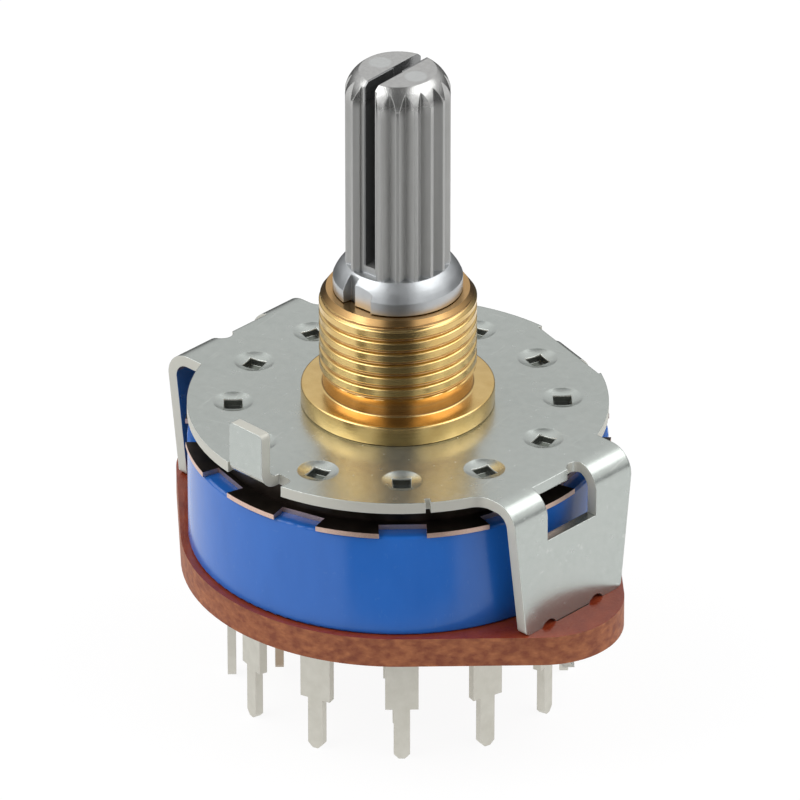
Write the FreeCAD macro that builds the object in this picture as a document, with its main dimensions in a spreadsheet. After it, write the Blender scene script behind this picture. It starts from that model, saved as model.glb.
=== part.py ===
import FreeCAD, Part
import math
import os
from types import SimpleNamespace

import Sketcher

# Rotary switch with four poles of three positions.
# Millimetres and degrees. The Z axis is the shaft's, and the origin is on it at the top of the bushing's
# flange, where the panel seats. Azimuths turn from the front, -Y, towards the right, +X.

DIMENSIONS = (
    ("shaft_top", 20.0),
    ("knurl_radius", 3.0),
    ("knurl_depth", 0.45),
    ("knurl_mouth", 0.6),
    ("knurl_count", 18),
    ("split_land_radius", 2.48),
    ("split_land_width", 1.2),
    ("tip_radius", 2.2),
    ("tip_height", 1.25),
    ("tip_curve", 1.92),
    ("split_width", 0.7),
    ("split_floor", 8.4),
    ("split_step", 0.12),
    ("split_azimuth", -41.5),
    ("collar_radius", 3.7),
    ("collar_floor", 6.2),
    ("collar_wall_top", 6.95),
    ("collar_top", 7.95),
    ("collar_slope_curve", 2.6),
    ("collar_notch_width", 1.95),
    ("collar_notch_radius", 3.4),
    ("collar_gap_width", 0.7),
    ("collar_gap_radius", 3.1),
    ("collar_gap_turn", 11.0),
    ("tail_radius", 2.9),
    ("tail_flats", 4.6),
    ("tail_length", 6.9),
    ("tail_end_length", 0.4),
    ("bushing_top", 6.15),
    ("thread_radius", 4.5),
    ("thread_chamfer", 0.4),
    ("thread_chamfer_height", 0.55),
    ("thread_end", 0.85),
    ("undercut_radius", 4.15),
    ("bushing_bore_radius", 3.05),
    ("flange_radius", 5.55),
    ("flange_thickness", 1.2),
    ("flange_step_radius", 4.8),
    ("flange_step_height", 0.2),
    ("spigot_radius", 4.0),
    ("stake_radius", 4.4),
    ("stake_height", 0.3),
    ("plate_radius", 12.05),
    ("plate_thickness", 0.65),
    ("dimple_circle_radius", 9.4),
    ("dimple_count", 12),
    ("dimple_radius", 1.17),
    ("dimple_depth", 0.26),
    ("pit_width", 1.14),
    ("pit_depth", 0.58),
    ("pit_taper", 10.0),
    ("bump_radius", 1.1),
    ("bump_height", 0.25),
    ("arm_azimuth", 45.0),
    ("arm_reach", 13.7),
    ("arm_bend", 1.5),
    ("arm_width", 9.6),
    ("arm_foot_left", 3.9),
    ("arm_foot_right", 4.05),
    ("arm_foot_corner", 0.4),
    ("neck_curve", 1.0),
    ("neck_start", 10.0),
    ("neck_half_width", 4.4),
    ("window_start", 12.5),
    ("window_bulge_left", 0.75),
    ("window_bulge_curve", 0.6),
    ("window_left", 2.15),
    ("window_right", 1.87),
    ("window_depth", 3.0),
    ("foot_notch_place", 1.95),
    ("foot_notch_radius", 0.62),
    ("foot_notch_drop", 0.25),
    ("tab_width", 2.6),
    ("tab_drop", 1.3),
    ("tab_twist", 45.0),
    ("tab_narrowing", 0.15),
    ("lug_azimuth", -46.0),
    ("lug_reach", 12.2),
    ("lug_width", 2.6),
    ("lug_top", 1.7),
    ("lug_bend", 1.1),
    ("lug_corner", 0.3),
    ("lug_start", 10.0),
    ("lug_relief_setback", 10.85),
    ("lug_relief_step", 11.3),
    ("lug_relief_left", 0.4),
    ("lug_relief_right", 0.7),
    ("lug_relief_curve", 0.4),
    ("finger_azimuth", 120.0),
    ("finger_reach", 12.1),
    ("finger_width", 2.6),
    ("finger_floor", -3.35),
    ("finger_bend", 1.0),
    ("finger_setback", 11.4),
    ("finger_start", 10.0),
    ("finger_cut_left", 3.4),
    ("finger_cut_right", 3.1),
    ("tick_azimuth", 6.8),
    ("tick_width", 0.3),
    ("tick_depth", 0.45),
    ("ring_radius", 12.22),
    ("ring_notch_radius", 11.1),
    ("ring_notch_width", 2.7),
    ("ring_thickness", 0.3),
    ("ring_height", 1.53),
    ("ring_bore_radius", 10.5),
    ("tongue_reach", 9.6),
    ("tongue_angle", 8.0),
    ("tongue_one_azimuth", 60.0),
    ("tongue_two_azimuth", 150.0),
    ("housing_radius", 12.05),
    ("housing_bore_radius", 11.0),
    ("housing_height", 6.37),
    ("base_radius", 12.5),
    ("base_lobe_reach", 12.7),
    ("base_corner_radius", 4.8),
    ("base_thickness", 1.8),
    ("blade_clearance", 0.05),
    ("throw_circle_radius", 9.6),
    ("throw_count", 12),
    ("throw_blade_width", 1.9),
    ("throw_shoulder", -15.95),
    ("throw_tip", -19.2),
    ("throw_pin_width", 0.93),
    ("pin_point_height", 0.3),
    ("pin_point_width", 0.35),
    ("throw_head_radius", 1.1),
    ("blade_thickness", 0.5),
    ("contact_thickness", 0.25),
    ("common_circle_radius", 6.85),
    ("common_blade_width", 2.0),
    ("common_shoulder", -15.5),
    ("common_tip", -18.75),
    ("common_arc_width", 1.3),
    ("common_arc_angle", 76.0),
    ("rotor_radius", 10.75),
    ("rotor_crown_radius", 10.3),
    ("rotor_crown_top", -2.9),
    ("rotor_shoulder", -3.7),
    ("rotor_floor", -8.6),
    ("rotor_hub_radius", 5.2),
    ("rotor_rim_radius", 8.0),
    ("rotor_web_top", -7.2),
    ("rotor_recess_radius", 9.3),
    ("rotor_recess_floor", -3.6),
    ("stop_rib_azimuth", 105.0),
    ("stop_rib_angle", 20.0),
    ("recess_sweep", 70.0),
    ("seat_clearance", 0.03),
    ("ball_radius", 1.0),
    ("ball_azimuth", 15.0),
    ("ball_centre_height", -3.15),
    ("pocket_radius", 1.08),
    ("pocket_floor", -6.75),
    ("spring_radius", 0.72),
    ("spring_wire_radius", 0.14),
    ("spring_pitch", 0.62),
    ("retainer_thickness", 0.5),
    ("retainer_radius", 4.3),
    ("retainer_bore_radius", 3.2),
    ("retainer_seat_radius", 2.3),
    ("retainer_prong_width", 1.6),
    ("retainer_mouth", 4.4),
    ("wiper_thickness", 0.2),
    ("wiper_width", 1.4),
    ("wiper_gap", 0.05),
    ("wiper_foot", 0.25),
    ("wiper_leg", 0.7),
    ("wiper_toe", 0.4),
    ("wiper_toe_rise", 0.25),
)

OPERATIONS = {
    "+": lambda left, right: left + right,
    "-": lambda left, right: left - right,
    "*": lambda left, right: left * right,
    "/": lambda left, right: left / right,
}


class Size:
    """A length, angle or count: its value, and the formula that ties it to the sheet."""

    def __init__(self, value, formula):
        self.value = value
        self.formula = formula

    def __add__(self, other):
        return combine(self, "+", other)

    def __radd__(self, other):
        return combine(other, "+", self)

    def __sub__(self, other):
        return combine(self, "-", other)

    def __rsub__(self, other):
        return combine(other, "-", self)

    def __mul__(self, other):
        return combine(self, "*", other)

    def __rmul__(self, other):
        return combine(other, "*", self)

    def __truediv__(self, other):
        return combine(self, "/", other)

    def __neg__(self):
        return combine(0, "-", self)


def as_size(item):
    return item if isinstance(item, Size) else Size(float(item), f"({float(item)})")


def combine(left, sign, right):
    left = as_size(left)
    right = as_size(right)
    value = OPERATIONS[sign](left.value, right.value)
    return Size(value, f"({left.formula} {sign} {right.formula})")


def sine(angle):
    angle = as_size(angle)
    return Size(math.sin(math.radians(angle.value)), f"sin({angle.formula})")


def cosine(angle):
    angle = as_size(angle)
    return Size(math.cos(math.radians(angle.value)), f"cos({angle.formula})")


def root(size):
    return Size(math.sqrt(size.value), f"sqrt({size.formula})")


doc = FreeCAD.newDocument("rotary_switch")
sheet = doc.addObject("Spreadsheet::Sheet", "dimensions")
for row, (alias, value) in enumerate(DIMENSIONS, start=1):
    sheet.set(f"A{row}", alias)
    sheet.set(f"B{row}", str(value))
    sheet.setAlias(f"B{row}", alias)
doc.recompute()
sizes = SimpleNamespace(**{
    alias: Size(float(sheet.get(alias)), f"dimensions.{alias}") for alias, value in DIMENSIONS
})

# Levels that several pieces share, from the flange down.
PLATE_TOP = -sizes.flange_thickness
PLATE_FLOOR = PLATE_TOP - sizes.plate_thickness
RING_FLOOR = PLATE_FLOOR - sizes.ring_height
BASE_TOP = RING_FLOOR - sizes.housing_height
BASE_FLOOR = BASE_TOP - sizes.base_thickness
TAIL_FLOOR = sizes.rotor_floor - sizes.retainer_thickness - sizes.tail_end_length
TAIL_TOP = TAIL_FLOOR + sizes.tail_length

subparts = []


# Sketches and features

def bind(item, path, size):
    item.setExpression(path, as_size(size).formula)


def new_body(name):
    body = doc.addObject("PartDesign::Body", name)
    body.Label = name
    subparts.append(body)
    return body


def origin_feature(body, role):
    return next(feature for feature in body.Origin.OriginFeatures if feature.Role == role)


def attached_sketch(body, name, role):
    sketch = body.newObject("Sketcher::SketchObject", f"{body.Name}_{name}")
    sketch.AttachmentSupport = (origin_feature(body, role), [""])
    sketch.MapMode = "FlatFace"
    return sketch


def level_sketch(body, name, height, azimuth=90):
    """A level sketch at a height, whose first axis points outwards at the azimuth."""
    sketch = attached_sketch(body, name, "XY_Plane")
    bind(sketch, "AttachmentOffset.Base.z", height)
    sketch.AttachmentOffset.Rotation.Axis = FreeCAD.Vector(0, 0, 1)
    bind(sketch, "AttachmentOffset.Rotation.Angle", azimuth - 90)
    return sketch


def upright_sketch(body, name, turn, azimuth, reach):
    sketch = attached_sketch(body, name, "XZ_Plane")
    upright = FreeCAD.Rotation(FreeCAD.Vector(0, 1, 0), 1)
    sketch.AttachmentOffset = FreeCAD.Placement(FreeCAD.Vector(), upright)
    bind(sketch, "AttachmentOffset.Rotation.Angle", turn)
    bind(sketch, "AttachmentOffset.Base.x", reach * sine(azimuth))
    bind(sketch, "AttachmentOffset.Base.z", reach * cosine(azimuth))
    return sketch


def section_sketch(body, name, azimuth=0, reach=0):
    """A sketch in the upright plane through the axis: outwards at the azimuth, and up."""
    return upright_sketch(body, name, azimuth - 90, azimuth, reach)


def face_sketch(body, name, azimuth=0, reach=0):
    """A sketch on an upright plane that faces outwards at the azimuth: to the right, and up."""
    return upright_sketch(body, name, azimuth, azimuth, reach)


def add_edge(sketch, start, end, radius):
    """Adds a line, or an arc that turns left for a positive radius, and returns it with its end numbers."""
    if radius == 0:
        return sketch.addGeometry(Part.LineSegment(start, end)), 1, 2
    half_chord = (end - start) * 0.5
    side = FreeCAD.Vector(-half_chord.y, half_chord.x, 0).normalize()
    rise = math.sqrt(max(radius * radius - half_chord.Length ** 2, 0))
    centre = start + half_chord + side * math.copysign(rise, radius)
    first, last = (start, end) if radius > 0 else (end, start)
    angles = [math.atan2(point.y - centre.y, point.x - centre.x) for point in (first, last)]
    circle = Part.Circle(centre, FreeCAD.Vector(0, 0, 1), abs(radius))
    edge = sketch.addGeometry(Part.ArcOfCircle(circle, *angles))
    return (edge, 1, 2) if radius > 0 else (edge, 2, 1)


def place_point(sketch, edge, end, across, up):
    for kind, axis, place in (("DistanceX", -2, across), ("DistanceY", -1, up)):
        if place.value == 0:
            sketch.addConstraint(Sketcher.Constraint("PointOnObject", edge, end, axis))
        else:
            number = sketch.addConstraint(Sketcher.Constraint(kind, edge, end, place.value))
            bind(sketch, f"Constraints[{number}]", place)


def draw_loop(sketch, corners):
    """Draws a closed outline. A corner is (across, up), or (across, up, radius) where an arc ends there."""
    corners = [tuple(as_size(item) for item in corner) for corner in corners]
    points = [FreeCAD.Vector(corner[0].value, corner[1].value, 0) for corner in corners]
    edges = []
    for index, corner in enumerate(corners):
        radius = corner[2] if len(corner) == 3 else as_size(0)
        edge, start, end = add_edge(sketch, points[index - 1], points[index], radius.value)
        edges.append((edge, start, end, radius, corner))
    for index, (edge, start, end, radius, corner) in enumerate(edges):
        previous, _, previous_end, _, _ = edges[index - 1]
        sketch.addConstraint(Sketcher.Constraint("Coincident", previous, previous_end, edge, start))
        place_point(sketch, edge, end, corner[0], corner[1])
        if radius.value != 0:
            number = sketch.addConstraint(Sketcher.Constraint("Radius", edge, abs(radius.value)))
            bind(sketch, f"Constraints[{number}]", radius if radius.value > 0 else -radius)


def draw_circle(sketch, radius, across=0, up=0):
    radius, across, up = as_size(radius), as_size(across), as_size(up)
    centre = FreeCAD.Vector(across.value, up.value, 0)
    edge = sketch.addGeometry(Part.Circle(centre, FreeCAD.Vector(0, 0, 1), radius.value))
    place_point(sketch, edge, 3, across, up)
    number = sketch.addConstraint(Sketcher.Constraint("Radius", edge, radius.value))
    bind(sketch, f"Constraints[{number}]", radius)


def draw_box(sketch, left, right, floor, top):
    draw_loop(sketch, [(left, floor), (right, floor), (right, top), (left, top)])


def draw_sector(sketch, inner, outer, start, end):
    """Draws part of a ring between two azimuths, in a level sketch whose first axis is +X."""
    draw_loop(sketch, [
        (inner * sine(start), -(inner * cosine(start)), -inner),
        (outer * sine(start), -(outer * cosine(start))),
        (outer * sine(end), -(outer * cosine(end)), outer),
        (inner * sine(end), -(inner * cosine(end))),
    ])


def solid_volume(body):
    return 0 if body.Shape.isNull() else body.Shape.Volume


def finish_feature(body, feature, before):
    doc.recompute()
    if abs(solid_volume(body) - before) < 1e-6:
        raise RuntimeError(f"{feature.Name} changes nothing")
    return feature


def extrude(kind, body, sketch, length, symmetric=False, upward=False, taper=0):
    before = solid_volume(body)
    feature = body.newObject(f"PartDesign::{kind}", f"{sketch.Name}_{kind.lower()}")
    feature.Profile = sketch
    bind(feature, "Length", length)
    feature.Midplane = symmetric
    feature.Reversed = upward
    bind(feature, "TaperAngle", taper)
    return finish_feature(body, feature, before)


def pad(body, sketch, length, symmetric=False):
    """Adds material, along the sketch's own direction or to both sides."""
    return extrude("Pad", body, sketch, length, symmetric)


def pocket(body, sketch, depth, upward=False, taper=0):
    """Takes material away, against the sketch's own direction unless upward."""
    return extrude("Pocket", body, sketch, depth, False, upward, taper)


def turn(kind, body, sketch):
    before = solid_volume(body)
    feature = body.newObject(f"PartDesign::{kind}", f"{sketch.Name}_{kind.lower()}")
    feature.Profile = sketch
    feature.ReferenceAxis = (sketch, ["V_Axis"])
    feature.Angle = 360
    return finish_feature(body, feature, before)


def repeat(body, name, features, count):
    """Repeats features evenly round the axis."""
    before = solid_volume(body)
    pattern = body.newObject("PartDesign::PolarPattern", f"{body.Name}_{name}")
    pattern.Originals = features
    pattern.Axis = (origin_feature(body, "Z_Axis"), [""])
    pattern.Angle = 360
    bind(pattern, "Occurrences", count)
    body.Tip = pattern
    return finish_feature(body, pattern, before)


def stand_at(body, azimuth):
    """Turns a body that was drawn at the front to another azimuth."""
    body.Placement = FreeCAD.Placement(FreeCAD.Vector(), FreeCAD.Rotation(FreeCAD.Vector(0, 0, 1), azimuth))


def turned_body(name, corners):
    body = new_body(name)
    sketch = section_sketch(body, "section")
    draw_loop(sketch, corners)
    turn("Revolution", body, sketch)
    return body


# Shaft

def make_shaft():
    """The die-cast shaft: knurled and split end, collar above the bushing, journal, and double-D tail."""
    tip_start = sizes.shaft_top - sizes.tip_height
    groove_floor = sizes.rotor_floor - sizes.retainer_thickness
    body = turned_body("shaft", [
        (0, TAIL_FLOOR),
        (sizes.tail_radius, TAIL_FLOOR),
        (sizes.tail_radius, groove_floor),
        (sizes.retainer_seat_radius, groove_floor),
        (sizes.retainer_seat_radius, sizes.rotor_floor),
        (sizes.tail_radius, sizes.rotor_floor),
        (sizes.tail_radius, TAIL_TOP),
        (sizes.knurl_radius, TAIL_TOP),
        (sizes.knurl_radius, sizes.collar_floor),
        (sizes.collar_radius, sizes.collar_floor),
        (sizes.collar_radius, sizes.collar_wall_top),
        (sizes.knurl_radius, sizes.collar_top, sizes.collar_slope_curve),
        (sizes.knurl_radius, tip_start),
        (sizes.tip_radius, sizes.shaft_top, sizes.tip_curve),
        (0, sizes.shaft_top),
    ])
    flats = level_sketch(body, "tail_flats", TAIL_FLOOR, sizes.split_azimuth)
    beyond = sizes.knurl_radius + 1
    half_flats = sizes.tail_flats / 2
    for near, far in ((half_flats, beyond), (-beyond, -half_flats)):
        draw_box(flats, -beyond, beyond, near, far)
    pocket(body, flats, sizes.tail_length, upward=True)
    cut_knurl(body)
    cut_split(body)
    cut_collar(body)


def cut_knurl(body):
    """Upright grooves of 90 degrees, from the collar to the tip, and a plain land beside the split."""
    length = sizes.shaft_top - sizes.collar_top
    half_pitch = 180 / sizes.knurl_count.value
    groove = level_sketch(body, "knurl_groove", sizes.collar_top, sizes.split_azimuth + half_pitch)
    root_radius = sizes.knurl_radius - sizes.knurl_depth
    draw_loop(groove, [
        (root_radius, 0),
        (root_radius + sizes.knurl_mouth, -sizes.knurl_mouth),
        (root_radius + sizes.knurl_mouth, sizes.knurl_mouth),
    ])
    cut = pocket(body, groove, length, upward=True)
    repeat(body, "knurl", [cut], sizes.knurl_count)
    land = level_sketch(body, "split_land", sizes.collar_top, sizes.split_azimuth)
    half_land = sizes.split_land_width / 2
    beyond = sizes.knurl_radius + 1
    for near, far in ((sizes.split_land_radius, beyond), (-beyond, -sizes.split_land_radius)):
        draw_box(land, near, far, -half_land, half_land)
    pocket(body, land, length, upward=True)


def cut_split(body):
    """The split: two half cuts from opposite sides, which meet with a small step at the axis."""
    split = level_sketch(body, "split", sizes.shaft_top, sizes.split_azimuth)
    half_width = sizes.split_width / 2
    step = sizes.split_step / 2
    beyond = sizes.knurl_radius + 1
    draw_loop(split, [
        (-beyond, -half_width - step),
        (0, -half_width - step),
        (0, -half_width + step),
        (beyond, -half_width + step),
        (beyond, half_width + step),
        (0, half_width + step),
        (0, half_width - step),
        (-beyond, half_width - step),
    ])
    pocket(body, split, sizes.shaft_top - sizes.split_floor)


def cut_collar(body):
    """The collar's flat in line with the split, and the gap down to the journal at its left end."""
    beyond = sizes.collar_radius + 1
    height = sizes.collar_top - sizes.collar_floor
    for name, azimuth, inner, width in (
        ("collar_flat", sizes.split_azimuth, sizes.collar_notch_radius, sizes.collar_notch_width),
        ("collar_gap", sizes.split_azimuth - sizes.collar_gap_turn, sizes.collar_gap_radius,
         sizes.collar_gap_width),
    ):
        cut = level_sketch(body, name, sizes.collar_top, azimuth)
        draw_box(cut, inner, beyond, -width / 2, width / 2)
        pocket(body, cut, height)


# Bushing

def make_threaded_bushing():
    """The turned bushing: flange, undercut, outside of the thread, and spigot staked under the plate."""
    edge = 0.15
    stake_floor = PLATE_FLOOR - sizes.stake_height
    chamfer_start = sizes.bushing_top - sizes.thread_chamfer_height
    body = turned_body("threaded_bushing", [
        (sizes.bushing_bore_radius, stake_floor),
        (sizes.stake_radius - edge, stake_floor),
        (sizes.stake_radius, stake_floor + edge),
        (sizes.stake_radius, PLATE_FLOOR),
        (sizes.spigot_radius, PLATE_FLOOR),
        (sizes.spigot_radius, PLATE_TOP),
        (sizes.flange_radius - edge, PLATE_TOP),
        (sizes.flange_radius, PLATE_TOP + edge, edge),
        (sizes.flange_radius, -edge),
        (sizes.flange_radius - edge, 0, edge),
        (sizes.flange_step_radius, 0),
        (sizes.flange_step_radius, sizes.flange_step_height),
        (sizes.undercut_radius, sizes.flange_step_height),
        (sizes.undercut_radius, sizes.thread_end - edge),
        (sizes.thread_radius, sizes.thread_end + edge),
        (sizes.thread_radius, chamfer_start),
        (sizes.thread_radius - sizes.thread_chamfer, sizes.bushing_top),
        (sizes.bushing_bore_radius + edge, sizes.bushing_top),
        (sizes.bushing_bore_radius, sizes.bushing_top - edge),
    ])


# Mounting plate

def bent_strip(body, name, azimuth, start, reach, radius, end, width, direction):
    """A strip that leaves the plate level and bends up or down by 90 degrees, to an upright outer face."""
    sketch = section_sketch(body, name, azimuth)
    inner_radius = radius - sizes.plate_thickness
    centre = reach - radius
    outside, inside = (PLATE_TOP, PLATE_FLOOR) if direction < 0 else (PLATE_FLOOR, PLATE_TOP)
    bend_level = outside + radius * direction
    draw_loop(sketch, [
        (start, outside),
        (centre, outside),
        (reach, bend_level, radius * direction),
        (reach, end),
        (reach - sizes.plate_thickness, end),
        (reach - sizes.plate_thickness, bend_level),
        (centre, inside, inner_radius * -direction),
        (start, inside),
    ])
    return pad(body, sketch, width, symmetric=True)


def make_mounting_plate():
    """One folded sheet: disc with dimples, locating lug bent up, finger and two arms bent down."""
    body = new_body("mounting_plate")
    disc = level_sketch(body, "disc", PLATE_FLOOR)
    draw_circle(disc, sizes.plate_radius)
    draw_circle(disc, sizes.spigot_radius)
    pad(body, disc, sizes.plate_thickness)
    cut_edges(body)
    bent_strip(body, "lug", sizes.lug_azimuth, sizes.lug_start, sizes.lug_reach, sizes.lug_bend,
               sizes.lug_top, sizes.lug_width, 1)
    round_lug(body)
    bent_strip(body, "finger", sizes.finger_azimuth, sizes.finger_start, sizes.finger_reach,
               sizes.finger_bend, sizes.finger_floor, sizes.finger_width, -1)
    repeat(body, "arms", make_arm(body), 2)
    repeat(body, "dimples", make_dimple(body), sizes.dimple_count)


def round_lug(body):
    """Rounds the lug's two upper corners."""
    corners = face_sketch(body, "lug_corners", sizes.lug_azimuth, sizes.lug_reach)
    half_lug = sizes.lug_width / 2
    top = sizes.lug_top
    curve = sizes.lug_corner
    draw_loop(corners, [
        (half_lug, top - curve),
        (half_lug - curve, top, curve),
        (half_lug, top),
    ])
    draw_loop(corners, [
        (-half_lug, top),
        (curve - half_lug, top),
        (-half_lug, top - curve, curve),
    ])
    draw_cut(body, corners)


def cut_edges(body):
    """The cuts in the disc's rim: beside the lug, along the finger's edge, and the tick at the front."""
    beyond = sizes.plate_radius + 1
    half_lug = sizes.lug_width / 2
    curve = sizes.lug_relief_curve
    right = half_lug + sizes.lug_relief_right
    lug = level_sketch(body, "lug_relief", PLATE_TOP, sizes.lug_azimuth)
    draw_loop(lug, [
        (beyond, -(half_lug + sizes.lug_relief_left)),
        (sizes.lug_relief_step, -(half_lug + sizes.lug_relief_left)),
        (sizes.lug_relief_step, -half_lug),
        (sizes.lug_relief_setback, -half_lug),
        (sizes.lug_relief_setback, right),
        (sizes.lug_relief_setback + curve, right + curve, -curve),
        (beyond, right + curve),
    ])
    draw_cut(body, lug)
    finger = level_sketch(body, "finger_relief", PLATE_TOP, sizes.finger_azimuth)
    draw_loop(finger, [
        (beyond, -sizes.finger_cut_left),
        (sizes.finger_setback, -sizes.finger_cut_left),
        (sizes.finger_setback, sizes.finger_cut_right),
        (beyond, sizes.finger_cut_right),
    ])
    draw_cut(body, finger)
    tick = level_sketch(body, "tick", PLATE_TOP, sizes.tick_azimuth)
    half_tick = sizes.tick_width / 2
    draw_box(tick, sizes.plate_radius - sizes.tick_depth, beyond, -half_tick, half_tick)
    draw_cut(body, tick)


def draw_cut(body, sketch):
    return pocket(body, sketch, sizes.plate_thickness)


def make_arm(body):
    """An arm that folds down over the housing: neck, bend, window, foot and the tab under the base."""
    arm = bent_strip(body, "arm", sizes.arm_azimuth, sizes.neck_start, sizes.arm_reach, sizes.arm_bend,
                     BASE_TOP, sizes.arm_width, -1)
    return [arm, widen_neck(body), cut_arm_sides(body), cut_window(body), cut_foot_notches(body),
            add_tab(body), twist_tab(body)]


def widen_neck(body):
    """The hollow curve between the disc's rim and the arm's left side. On the right they meet in a corner."""
    half_width = sizes.arm_width / 2
    curve = sizes.neck_curve
    centre_across = half_width + curve
    centre_radius = sizes.plate_radius + curve
    centre_reach = root(centre_radius * centre_radius - centre_across * centre_across)
    rim_share = sizes.plate_radius / centre_radius
    outline = level_sketch(body, "neck", PLATE_FLOOR, sizes.arm_azimuth)
    draw_loop(outline, [
        (sizes.neck_start, -sizes.neck_half_width),
        (centre_reach * rim_share, -(centre_across * rim_share)),
        (centre_reach, -half_width, -curve),
        (centre_reach, -sizes.neck_half_width),
    ])
    return pad(body, outline, sizes.plate_thickness)


def cut_arm_sides(body):
    """The arm's taper towards the foot, and the foot's rounded lower corners."""
    half_width = sizes.arm_width / 2
    taper_start = PLATE_TOP - sizes.arm_bend
    corner = sizes.arm_foot_corner
    beyond = half_width + 1
    outline = face_sketch(body, "arm_sides", sizes.arm_azimuth, sizes.arm_reach)
    draw_loop(outline, [
        (sizes.arm_foot_right - corner, BASE_TOP, -corner),
        (beyond, BASE_TOP),
        (beyond, taper_start),
        (half_width, taper_start),
        (sizes.arm_foot_right, BASE_TOP + corner),
    ])
    draw_loop(outline, [
        (-beyond, BASE_TOP),
        (corner - sizes.arm_foot_left, BASE_TOP),
        (-sizes.arm_foot_left, BASE_TOP + corner, -corner),
        (-half_width, taper_start),
        (-beyond, taper_start),
    ])
    return draw_cut(body, outline)


def cut_window(body):
    """The window across the bend, with a rounded bulge at its inner right end."""
    outline = level_sketch(body, "window", PLATE_TOP, sizes.arm_azimuth)
    beyond = sizes.arm_reach + 1
    curve = sizes.window_bulge_curve
    draw_loop(outline, [
        (sizes.window_start, -sizes.window_left),
        (beyond, -sizes.window_left),
        (beyond, sizes.window_right),
        (sizes.window_start, sizes.window_right),
        (sizes.window_start, sizes.window_bulge_left, curve),
    ])
    return pocket(body, outline, sizes.window_depth)


def cut_foot_notches(body):
    """The two round notches in the foot's lower edge."""
    outline = face_sketch(body, "foot_notches", sizes.arm_azimuth, sizes.arm_reach)
    for side in (-1, 1):
        draw_circle(outline, sizes.foot_notch_radius, sizes.foot_notch_place * side,
                    BASE_TOP - sizes.foot_notch_drop)
    return draw_cut(body, outline)


def add_tab(body):
    """The tab through the base."""
    outline = level_sketch(body, "tab", BASE_FLOOR, sizes.arm_azimuth)
    half_tab = sizes.tab_width / 2
    draw_box(outline, sizes.arm_reach - sizes.plate_thickness, sizes.arm_reach, -half_tab, half_tab)
    return pad(body, outline, BASE_TOP + sizes.foot_notch_drop - BASE_FLOOR)


def twist_tab(body):
    """The end of the tab under the base, twisted so that it holds the stack together."""
    centre = sizes.arm_reach - sizes.plate_thickness / 2
    half_thickness = sizes.plate_thickness / 2
    half_tab = sizes.tab_width / 2
    sections = []
    for name, part in (("start", 0), ("middle", 0.5), ("end", 1)):
        angle = sizes.tab_twist * part
        section = level_sketch(body, f"twist_{name}", BASE_FLOOR - sizes.tab_drop * part, sizes.arm_azimuth)
        corners = []
        for across, along in ((-1, -1), (1, -1), (1, 1), (-1, 1)):
            half_section = half_tab * (1 - sizes.tab_narrowing * part)
            corners.append((
                centre + half_thickness * across * cosine(angle) - half_section * along * sine(angle),
                half_thickness * across * sine(angle) + half_section * along * cosine(angle),
            ))
        draw_loop(section, corners)
        sections.append(section)
    before = solid_volume(body)
    loft = body.newObject("PartDesign::AdditiveLoft", f"{body.Name}_twist")
    loft.Profile = sections[0]
    loft.Sections = sections[1:]
    loft.Ruled = True
    return finish_feature(body, loft, before)


def make_dimple(body):
    """A punched dimple: a round dish with a square pit above, and a low round bump under the plate."""
    reach = sizes.dimple_circle_radius
    features = []
    for name, kind, level, radius, depth in (
        ("bump", "Revolution", PLATE_FLOOR, sizes.bump_radius, sizes.bump_height),
        ("dish", "Groove", PLATE_TOP, sizes.dimple_radius, sizes.dimple_depth),
    ):
        section = section_sketch(body, name, 0, reach)
        draw_loop(section, [
            (0, level - depth),
            (radius, level, (radius * radius + depth * depth) / (depth * 2)),
            (0, level),
        ])
        features.append(turn(kind, body, section))
    pit_outline = level_sketch(body, "pit", PLATE_TOP, 0)
    half_pit = sizes.pit_width / 2
    draw_box(pit_outline, reach - half_pit, reach + half_pit, -half_pit, half_pit)
    features.append(pocket(body, pit_outline, sizes.pit_depth, taper=-sizes.pit_taper))
    return features


# Stop ring

def make_stop_ring():
    """A drawn ring: wall up to the plate, flange with twelve notches, and two tongues that stop the rotor."""
    wall_radius = sizes.ring_bore_radius + sizes.ring_thickness
    flange_top = RING_FLOOR + sizes.ring_thickness
    body = turned_body("stop_ring", [
        (sizes.ring_bore_radius, RING_FLOOR),
        (sizes.ring_radius, RING_FLOOR),
        (sizes.ring_radius, flange_top),
        (wall_radius, flange_top),
        (wall_radius, PLATE_FLOOR),
        (sizes.ring_bore_radius, PLATE_FLOOR),
    ])
    notch = level_sketch(body, "notch", flange_top, 0)
    half_width = sizes.ring_notch_width / 2
    draw_box(notch, sizes.ring_notch_radius, sizes.ring_radius + 1, -half_width, half_width)
    repeat(body, "notches", [pocket(body, notch, sizes.ring_thickness)], sizes.dimple_count)
    half_tongue = sizes.tongue_angle / 2
    for number, azimuth in enumerate((sizes.tongue_one_azimuth, sizes.tongue_two_azimuth)):
        tongue = level_sketch(body, f"tongue_{number}", RING_FLOOR)
        draw_sector(tongue, sizes.tongue_reach, sizes.ring_bore_radius + 0.1,
                    azimuth - half_tongue, azimuth + half_tongue)
        pad(body, tongue, sizes.ring_thickness)


# Housing and base

def make_housing():
    edge = 0.15
    turned_body("housing", [
        (sizes.housing_bore_radius, BASE_TOP),
        (sizes.housing_radius - edge, BASE_TOP),
        (sizes.housing_radius, BASE_TOP + edge, edge),
        (sizes.housing_radius, RING_FLOOR - edge),
        (sizes.housing_radius - edge, RING_FLOOR, edge),
        (sizes.housing_bore_radius, RING_FLOOR),
    ])


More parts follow.
